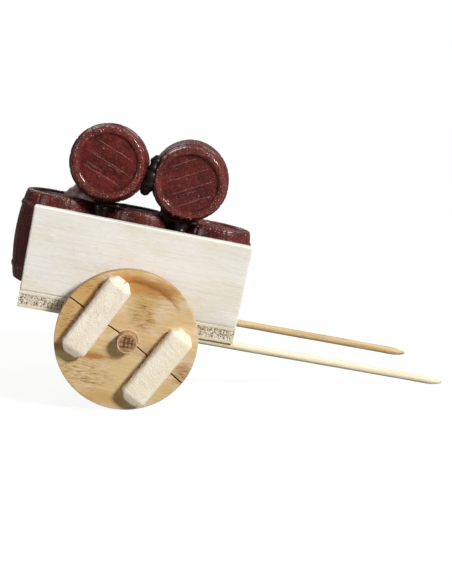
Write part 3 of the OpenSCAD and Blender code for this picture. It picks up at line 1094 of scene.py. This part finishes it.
def cornerGlue():
    under = -bed["facePly"] * 2 - bed["corePly"]
    size, beside, below = gluing["axle"]
    run, low = bed["width"] / 2 - gluing["axleInset"], under - below
    beads = Shape()
    for way in (-1, 1):
        x = inBed("axle").x + way * beside
        glueRun(beads, Vector((x, -run, low)), Vector((x, run, low)), size, 3 + way)
    dried = driedGlue("axleGlue", 2.5)
    makePiece("axle_glue_beads", beads, dried, bedPlace, "cart", ["axle_glue"])
    size, beside, below = gluing["shaft"]
    front, low = bed["length"] - gluing["shaftInset"], under - below
    beads = Shape()
    for node in ("shaft_near", "shaft_far"):
        middle = inBed(node)
        rear = middle.x - shaft["length"] / 2 + gluing["shaftInset"]
        for way in (-1, 1):
            y = middle.y + way * beside
            glueRun(beads, Vector((rear, y, low)), Vector((front, y, low)), size, y)
    dried = driedGlue("shaftGlue", 6.5)
    makePiece("shaft_glue_beads", beads, dried, bedPlace, "cart", ["shaft_glue"])


cornerGlue()
print("axle, shafts and glue made")


# The kegs.

keg = {
    "height": 23.3,
    "bellyRadius": 10.1,
    "endRadius": 8.95,
    "headRadius": 6.9,
    "headSunk": 0.6,
    "rimRound": 0.9,
    "hoopWidth": 1.3,
    "hoopOut": 0.3,
    "hoopSet": 3,
    "plank": 3.45,
    "staves": 15,
    "around": 180,
    "lowerLines": (-1, 0, 1),  # joints between the head planks, in planks from the middle
    "upperLines": (-1.3, -0.35, 0.6, 1.55),
    "gritSizes": (0.06, 0.08, 0.1, 0.12, 0.16, 0.2),
}


def staveRadius(z):
    reach = keg["height"] / 2 - 0.6
    return keg["bellyRadius"] - (keg["bellyRadius"] - keg["endRadius"]) * (z / reach) ** 2


def kegOutline():
    # Half of the outline, from the belly to the middle of the head, with how worn each point is.
    half, end, head = keg["height"] / 2, keg["endRadius"], keg["headRadius"]
    sunk, roll = keg["headSunk"], keg["rimRound"]
    hoopHigh = half - keg["hoopSet"]
    hoopLow = hoopHigh - keg["hoopWidth"]
    found = [(staveRadius(z), z, 0.0) for z in [hoopLow * i / 22 for i in range(22)]]
    for u, rise in ((0, 0.1), (0.12, 0.65), (0.3, 0.92), (0.5, 1.0), (0.7, 0.92), (0.88, 0.65), (1, 0.1)):
        z = hoopLow + keg["hoopWidth"] * u
        found.append((staveRadius(z) + keg["hoopOut"] * rise, z, 0.45 * rise))
    for i in range(1, 8):
        z = hoopHigh + (half - roll - hoopHigh) * i / 8
        found.append((staveRadius(z), z, 0.15))
    for angle in (0, 15, 30, 45, 60, 75, 90):  # the rim is a broad soft roll
        a = math.radians(angle)
        out, up = roll * math.cos(a), roll * math.sin(a)
        found.append((end - roll + out, half - roll + up, 0.25 + 0.3 * math.sin(a)))
    sweep = math.acos(1 - sunk / roll)
    for i in range(1, 9):
        a = sweep * i / 8
        out, up = roll * (math.sin(sweep) - math.sin(a)), roll * math.cos(a)
        found.append((head + out, half - roll + up, 0.5 - 0.05 * i))
    found += [((head - 0.25) * (1 - i / 18), half - sunk, 0.0) for i in range(19)]
    return found


def kegCasting(seed):
    upper = kegOutline()
    outline = [(r, -z, mark) for r, z, mark in reversed(upper[1:])] + upper
    shape = turnOnLathe([(r, z) for r, z, mark in outline], keg["around"])
    shape.marks = [mark for r, z, mark in outline for i in range(keg["around"] if r > 0 else 1)]

    def relief(p, n):
        away = math.hypot(p.x, p.y)
        height = 0.06 * ripple(p, (2.6, 2.6, 3.4), seed) + 0.04 * ripple(p, (0.8, 0.8, 1.0), seed + 3) - 0.03
        if abs(n.z) < 0.5 and away > keg["endRadius"] - 1:  # staves, with a scored joint between them
            angle = math.atan2(p.y, p.x) / (2 * math.pi) * keg["staves"]
            joint = abs(angle - round(angle))
            height -= 0.17 * max(0.0, 1 - joint * keg["staves"] / 1.1)
            height += 0.035 * ripple((angle * 6, 0, p.z), (1, 1, 9), seed + 6)
            height = min(height, -0.03)  # nothing stands outside the drawn keg
        if abs(n.z) > 0.8 and away < keg["headRadius"]:  # head planks sit at slightly different heights
            lines = keg["upperLines"] if p.z > 0 else keg["lowerLines"]
            board = sum(1 for line in lines if p.x > line * keg["plank"])
            height += 0.05 * math.sin(board * 2.4 + seed)
            height += 0.03 * ripple(p, (0.7, 4.5, 1), seed + 8)
        return height

    return roughen(shape, relief)


def addHeadLines(shape, rng, seed):
    # Raised lines between the head planks, with a fainter one here and there beside them.
    headZ = keg["height"] / 2 - keg["headSunk"]
    for way, lines in ((-1, keg["lowerLines"]), (1, keg["upperLines"])):
        ridges = [(line * keg["plank"], 1.0, 0.15) for line in lines]
        ridges += [((rng.choice(lines) + rng.uniform(-0.3, 0.3)) * keg["plank"], rng.uniform(0.2, 0.5), 0.08)
                   for extra in range(8)]
        for across, share, size in ridges:
            room = math.sqrt(max(1.0, (keg["headRadius"] - 0.5) ** 2 - across ** 2))
            shift = rng.uniform(-1, 1) * (1 - share) * room
            path, radii = [], []
            for i in range(25):
                u = 2 * i / 24 - 1
                y = shift + room * share * u
                x = across + 0.12 * ripple((y, across, way), (1.7, 1, 1), seed)
                path.append(Vector((x, y, way * (headZ - 0.07))))
                swell = 1 + 0.4 * ripple((y, 0, 0), (0.6, 1, 1), seed + across)
                radii.append(size * swell * (1 - 0.75 * u ** 4))
            shape.join(strand(path, radii, 6, mark=0.88))


def addGrit(shape, rng, seed, grains):
    # Bubbles and grit caught in the varnish: half on the rims, then most on the staves, fewer on the heads.
    half, roll = keg["height"] / 2, keg["rimRound"]
    headZ = half - keg["headSunk"]
    for i in range(grains):
        way = rng.choice((-1, 1))
        angle = rng.uniform(0, 2 * math.pi)
        size = rng.choice(keg["gritSizes"])
        place = rng.random()
        if place < 0.5:
            turn = math.radians(rng.uniform(0, 150))
            radius = keg["endRadius"] - roll * (1 - math.cos(turn)) - size * 0.3
            z = way * (half - roll * (1 - math.sin(turn)) - size * 0.3)
        elif place < 0.62:
            radius = keg["headRadius"] * math.sqrt(rng.random()) * 0.92
            z = way * (headZ - 0.02)
            size *= 0.7
        else:
            z = way * (half - roll) * (1 - 0.75 * rng.random() ** 2)
            radius = staveRadius(z) - size * 0.6
            size *= 0.8
        if math.sin(angle * 3 + seed) + rng.uniform(-1, 1) < -0.6:  # it gathers in drifts
            continue
        grit = bead((size, size, size * 0.8), 1)
        # Beads marked 0.96 and 1 are painted pale by the varnish, as painted glints.
        grit.marks = [rng.choice((0.3, 0.5, 0.96, 1.0))] * len(grit.points)
        shape.join(grit, Matrix.Translation((radius * math.cos(angle), radius * math.sin(angle), z)))


def makeKeg(node, turn, seed, grains, rough):
    # More grains and a higher rough give a grittier, duller keg, with stronger painted glints.
    shape = kegCasting(seed)
    rng = random.Random(int(seed * 100))
    addHeadLines(shape, rng, seed)
    addGrit(shape, rng, seed, grains)
    finish = kegVarnish(node + "Varnish", seed, rough)
    makePiece(node + "_cask", shape, finish, seatOf(node, turn), "cart", [node], 60)


# The lying kegs are skewed a little, laid down, then rolled.
topRear = turned(-3.5, "Z") @ turned(-2.5, "X") @ turned(-90, "X") @ turned(111, "Z")
topFront = turned(-5.5, "Z") @ turned(3, "X") @ turned(90, "X") @ turned(119, "Z")
makeKeg("keg_rear", turned(20, "Z"), 1.4, 1700, 2.4)
makeKeg("keg_middle", turned(65, "Z"), 3.6, 1700, 2.4)
makeKeg("keg_front", turned(-35, "Z"), 5.8, 1400, 2.0)
makeKeg("keg_top_rear", topRear, 7.1, 800, 1.0)
makeKeg("keg_top_front", topFront, 9.3, 800, 1.2)
print("kegs made")


# Varnish that ran between the kegs.

varnish = {"grain": 0.22, "smoothing": 8, "relief": 0.06}


def varnishRun(name, lumps, finish, stands=()):
    # Lumps melt into one skin. They are in the bed's frame: x forward, y across, z up, then three radii.
    heap = Shape()
    for x, y, z, *radii in lumps:
        heap.join(bead(radii, 3), Matrix.Translation((x, y, z)))
    shape = settle(heap, ("REMESH", {"mode": "VOXEL", "voxel_size": varnish["grain"]}),
                   ("SMOOTH", {"factor": 0.5, "iterations": varnish["smoothing"]}))
    roughen(shape, lambda p, n: varnish["relief"] * ripple(p, (0.9, 0.9, 0.9), len(lumps)))
    makePiece(name, shape, finish, bedPlace, "cart", stands, 60)


rearTop, frontTop = inBed("keg_top_rear"), inBed("keg_top_front")
gapX = (rearTop.x + frontTop.x) / 2
topZ = rearTop.z
rims = keg["height"]  # the standing kegs' rims, above the floor
frontGap = inBed("keg_front").x / 2 + inBed("keg_middle").x / 2
rearGap = inBed("keg_rear").x / 2 + inBed("keg_middle").x / 2

varnishRun("glue_drop_run", [
    (gapX + 0.5, -8.8, topZ + 4.1, 0.9, 1.0, 0.7),
    (gapX + 0.3, -8.6, topZ + 3.1, 1.5, 1.4, 1.1),
    (gapX, -8.9, topZ + 1.2, 1.3, 1.5, 1.6),
    (gapX - 0.2, -8.9, topZ - 0.8, 1.9, 1.6, 2.0),
    (gapX - 0.4, -8.4, topZ - 2.6, 2.3, 1.9, 1.4),
    (gapX - 0.8, -7.8, topZ - 3.8, 1.9, 1.8, 1.2),
    (gapX - 0.9, -7.4, topZ - 4.7, 1.3, 1.4, 1.2),
    (gapX, 0, topZ - 2.2, 1.2, 5, 1.4),
    (gapX, 5, topZ - 1.0, 1.0, 4, 2.0),
], darkVarnish("dropVarnish", 1.1), ["glue_drop"])

varnishRun("glue_smear_run", [
    (rearTop.x - 8.3, -5.6, rims + 0.7, 1.8, 2.0, 0.9),
    (rearTop.x - 7.4, -5.6, rims + 1.4, 1.8, 2.2, 1.5),
    (rearTop.x - 6.8, -5.4, rims + 2.4, 1.2, 2.0, 1.5),
    (rearTop.x - 5.2, -5.2, rims + 0.9, 2.2, 2.4, 1.3),
    (rearTop.x - 3.4, -5.8, rims + 0.3, 2.2, 1.8, 0.6),
    (rearTop.x - 7.0, 2.0, rims + 0.7, 1.6, 2.6, 1.2),
], darkVarnish("smearVarnish", 2.7, "9a837f", "bda8a4", 0.4), ["glue_smear"])

varnishRun("glue_lump_run", [
    (frontGap, -6.2, rims - 1.4, 2.0, 2.2, 2.2),
    (frontGap - 2.6, -7.0, rims - 0.4, 2.4, 1.2, 0.9),
    (frontGap + 2.2, -6.8, rims - 0.3, 2.4, 1.2, 0.8),
    (frontGap, -7.4, rims - 3.4, 1.5, 1.4, 1.8),
    (frontGap, -6.4, rims - 5.6, 1.2, 1.4, 1.8),
    (frontGap - 5.0, -6.6, rims + 0.2, 1.2, 1.2, 0.9),
    (frontGap - 5.0, -6.8, rims + 1.4, 0.9, 0.9, 1.2),
    (frontGap - 5.5, -6.9, rims + 2.8, 0.7, 0.8, 1.3),
    (frontGap - 4.0, -6.5, rims + 0.4, 1.2, 1.2, 0.9),
    (frontGap, 4, rims - 1.8, 1.8, 3, 2.0),
], darkVarnish("lumpVarnish", 4.2), ["glue_lump"])

varnishRun("glue_web", [
    (rearGap - 5.2, -6.4, rims - 0.1, 1.6, 1.4, 0.6),
    (rearGap - 3.4, -6.2, rims + 0.1, 1.6, 1.4, 0.8),
    (rearGap - 1.4, -6.4, rims + 0.1, 1.8, 1.2, 0.7),
    (rearGap - 0.1, -6.8, rims - 0.6, 0.9, 1.0, 0.8),
    (rearGap + 1.2, -6.4, rims + 0.1, 1.8, 1.2, 0.7),
    (rearGap + 3.4, -6.2, rims + 0.1, 1.6, 1.4, 0.8),
    (rearGap + 5.2, -6.4, rims - 0.1, 1.6, 1.4, 0.5),
], darkVarnish("webVarnish", 6.1))
print("varnish runs made")
